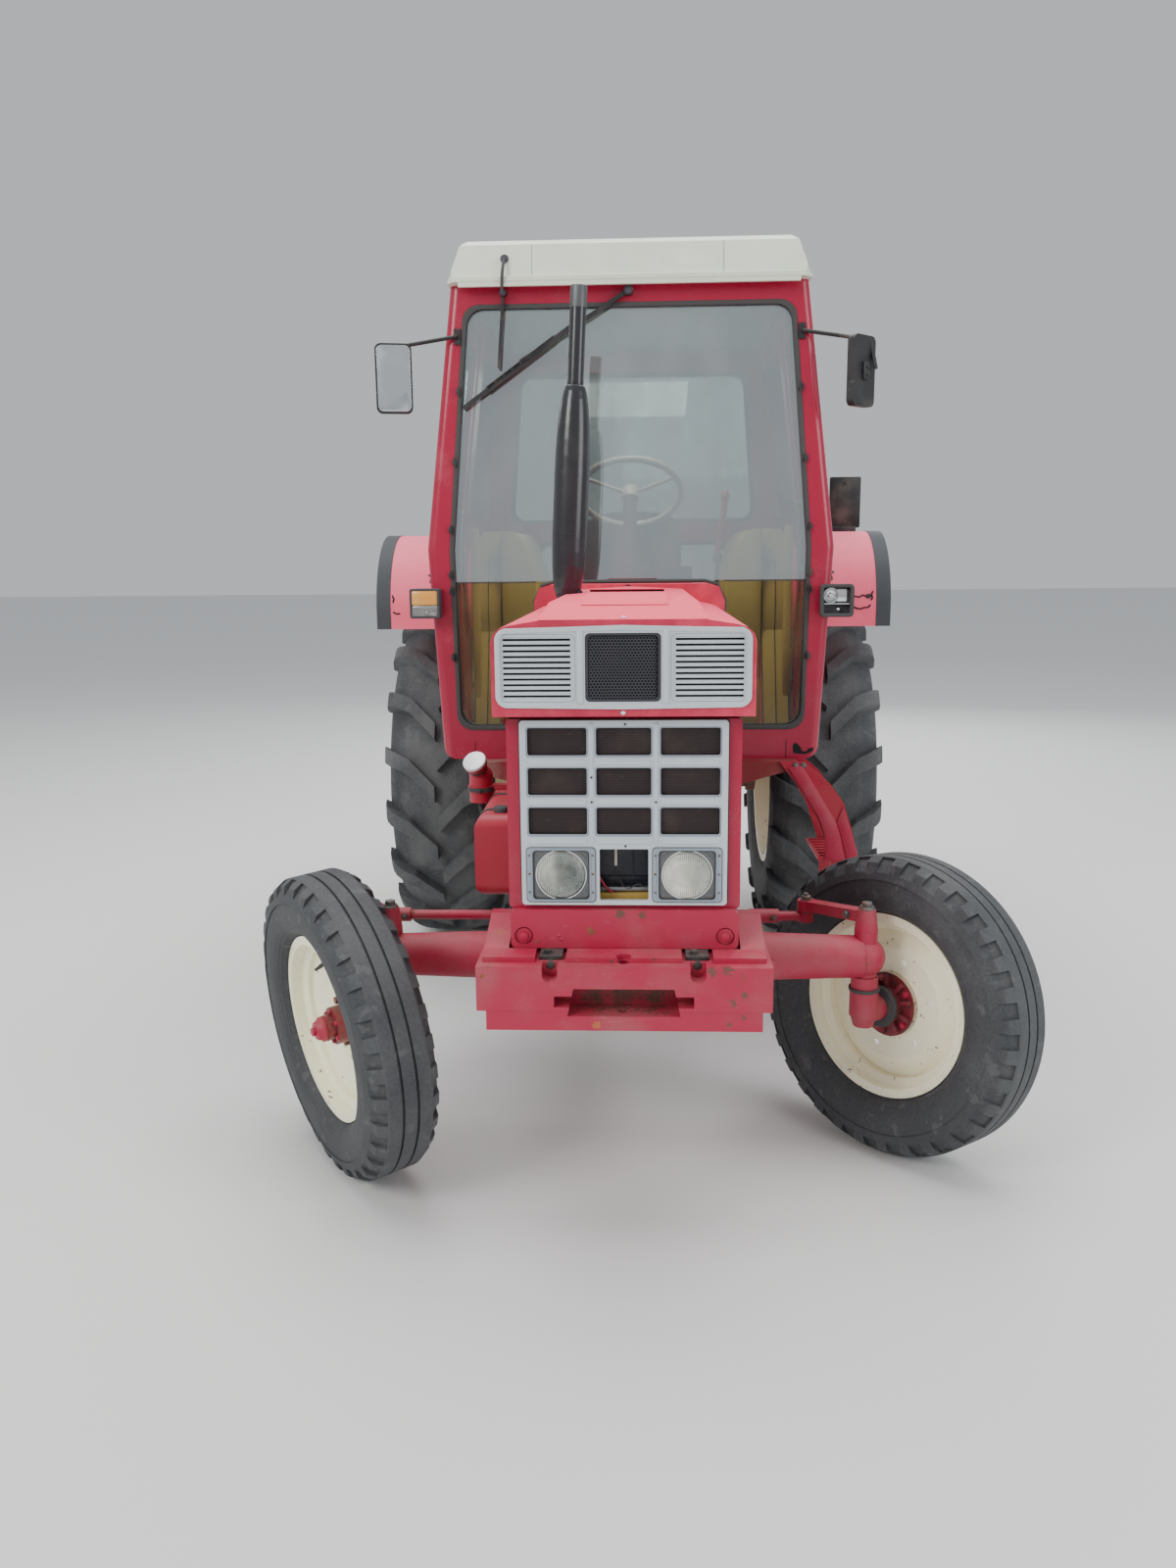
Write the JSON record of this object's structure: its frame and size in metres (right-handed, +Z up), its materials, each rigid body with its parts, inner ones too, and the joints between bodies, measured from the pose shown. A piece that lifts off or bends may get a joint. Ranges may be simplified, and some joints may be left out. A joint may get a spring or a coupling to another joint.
{
  "type": "tractor",
  "caption": "Vintage two-wheel-drive farm tractor with square cab, steered front axle, tall rear wheels, opening doors and rear three-point linkage",
  "frame": {"origin": "on the ground, midway along the overall length and on the centre plane", "axes": "+Z up, the tractor faces -Y, +X is the tractor's left side"},
  "size_m": [2.3513, 3.8719, 2.894],
  "materials": {
    "red_paint": "satin",
    "faded_red_paint": "matte",
    "cream_paint": "satin",
    "roof_cream": "matte",
    "silver_paint": "satin",
    "dark_paint": "matte",
    "cast_iron_grey": "rough",
    "bright_steel": "brushed",
    "tyre_rubber": "matte",
    "black_rubber": "matte",
    "black_plastic": "matte",
    "pale_plastic": "gloss",
    "clear_glass": "polished",
    "amber_lens": "gloss",
    "red_lens": "gloss",
    "seat_cover": "matte",
    "silencer_black": "rough"
  },
  "bodies": {
    "chassis": {"front_axle": "red_paint", "front_bolster": "red_paint", "front_weight": "cast_iron_grey", "engine": "cast_iron_grey", "engine_top": "cast_iron_grey", "radiator": "dark_paint", "battery": "black_plastic", "radiator_shell": "red_paint", "grille_grid": "silver_paint", "grille_screen": "dark_paint", "headlights": "clear_glass", "bonnet": "faded_red_paint", "nose_grille": "silver_paint", "exhaust": "silencer_black", "side_tank": "red_paint", "oil_reservoir": "red_paint", "transmission": "cast_iron_grey", "cowl": "faded_red_paint", "cab_floor": "dark_paint", "cab_frame": "red_paint", "cab_roof": "roof_cream", "windscreen": "clear_glass", "side_glass": "clear_glass", "rear_glass": "clear_glass", "fenders": "faded_red_paint", "fender_flares": "black_rubber", "front_indicators": "amber_lens", "rear_lamps": "red_lens", "mirrors": "black_plastic", "wiper": "black_plastic", "seat": "seat_cover", "seat_base": "dark_paint", "steering_column": "black_plastic", "dashboard": "black_plastic", "step": "red_paint", "drawbar": "dark_paint"},
    "knuckle_left_body": {"knuckle_left": "red_paint"},
    "knuckle_right_body": {"knuckle_right": "red_paint"},
    "tie_rod_body": {"tie_rod": "bright_steel"},
    "front_wheel_left_body": {"front_wheel_left": "cream_paint", "front_tyre_left": "tyre_rubber"},
    "front_wheel_right_body": {"front_wheel_right": "cream_paint", "front_tyre_right": "tyre_rubber"},
    "rear_wheel_left_body": {"rear_wheel_left": "cream_paint", "rear_tyre_left": "tyre_rubber"},
    "rear_wheel_right_body": {"rear_wheel_right": "cream_paint", "rear_tyre_right": "tyre_rubber"},
    "door_left_body": {"door_left": "red_paint", "door_left_glass": "clear_glass"},
    "door_right_body": {"door_right": "red_paint", "door_right_glass": "clear_glass"},
    "steering_wheel_body": {"steering_wheel": "pale_plastic"},
    "fan_body": {"cooling_fan": "black_plastic"},
    "lower_links_body": {"lower_links": "red_paint"},
    "lift_arms_body": {"lift_arms": "red_paint"},
    "lift_rods_body": {"lift_rods": "red_paint"},
    "top_link_body": {"top_link": "red_paint"}
  },
  "joints": [
    {"name": "steering", "type": "hinge", "parent": "chassis", "child": "knuckle_left_body", "pos_m": [0.705, -1.406, 0.5], "axis": [0, 0, 1], "range_deg": [-84, 6]},
    {"name": "steering_right", "type": "hinge", "parent": "chassis", "child": "knuckle_right_body", "pos_m": [-0.705, -1.406, 0.5], "axis": [0, 0, 1], "range_deg": [-84, 6]},
    {"name": "tie_rod_end", "type": "hinge", "parent": "knuckle_left_body", "child": "tie_rod_body", "pos_m": [0.55396, -1.21948, 0.706], "axis": [0, 0, 1], "range_deg": [-6, 84]},
    {"name": "front_wheel_left_turn", "type": "hinge", "parent": "knuckle_left_body", "child": "front_wheel_left_body", "pos_m": [0.82296, -1.29791, 0.45867], "axis": [0.7345, 0.673, -0.0872], "continuous": true},
    {"name": "front_wheel_right_turn", "type": "hinge", "parent": "knuckle_right_body", "child": "front_wheel_right_body", "pos_m": [-0.83526, -1.49891, 0.45867], "axis": [-0.811, -0.5785, -0.0872], "continuous": true},
    {"name": "rear_wheel_left_turn", "type": "hinge", "parent": "chassis", "child": "rear_wheel_left_body", "pos_m": [0.837, 0.944, 0.79], "axis": [1, 0, 0], "continuous": true},
    {"name": "rear_wheel_right_turn", "type": "hinge", "parent": "chassis", "child": "rear_wheel_right_body", "pos_m": [-0.837, 0.944, 0.79], "axis": [1, 0, 0], "continuous": true},
    {"name": "door_left_hinge", "type": "hinge", "parent": "chassis", "child": "door_left_body", "pos_m": [0.757, 0.24, 1.6], "axis": [0, 0, 1], "range_deg": [0, 75]},
    {"name": "door_right_hinge", "type": "hinge", "parent": "chassis", "child": "door_right_body", "pos_m": [-0.757, 0.24, 1.6], "axis": [0, 0, -1], "range_deg": [0, 75]},
    {"name": "steering_wheel_turn", "type": "hinge", "parent": "chassis", "child": "steering_wheel_body", "pos_m": [0, -0.026, 2.052], "axis": [0, 0.5878, 0.809], "continuous": true},
    {"name": "fan_turn", "type": "hinge", "parent": "chassis", "child": "fan_body", "pos_m": [0, -1.31, 1.13], "axis": [0, 1, 0], "continuous": true},
    {"name": "lift", "type": "hinge", "parent": "chassis", "child": "lower_links_body", "pos_m": [0, 1.014, 0.54], "axis": [1, 0, 0], "range_deg": [-12, 38]},
    {"name": "lift_arm_turn", "type": "hinge", "parent": "chassis", "child": "lift_arms_body", "pos_m": [0, 1.034, 1.13], "axis": [1, 0, 0], "range_deg": [-12, 38]},
    {"name": "lift_rod_turn", "type": "hinge", "parent": "lift_arms_body", "child": "lift_rods_body", "pos_m": [0, 1.36097, 1.08541], "axis": [1, 0, 0], "range_deg": [-38, 12]},
    {"name": "top_link_turn", "type": "hinge", "parent": "chassis", "child": "top_link_body", "pos_m": [0, 1.254, 1.04], "axis": [1, 0, 0], "range_deg": [-45, 50]}
  ],
  "couplings": [
    {"joint": "steering_right", "follows": "steering", "ratio": 1},
    {"joint": "tie_rod_end", "follows": "steering", "ratio": -1},
    {"joint": "lift_arm_turn", "follows": "lift", "ratio": 1},
    {"joint": "lift_rod_turn", "follows": "lift", "ratio": -1}
  ]
}
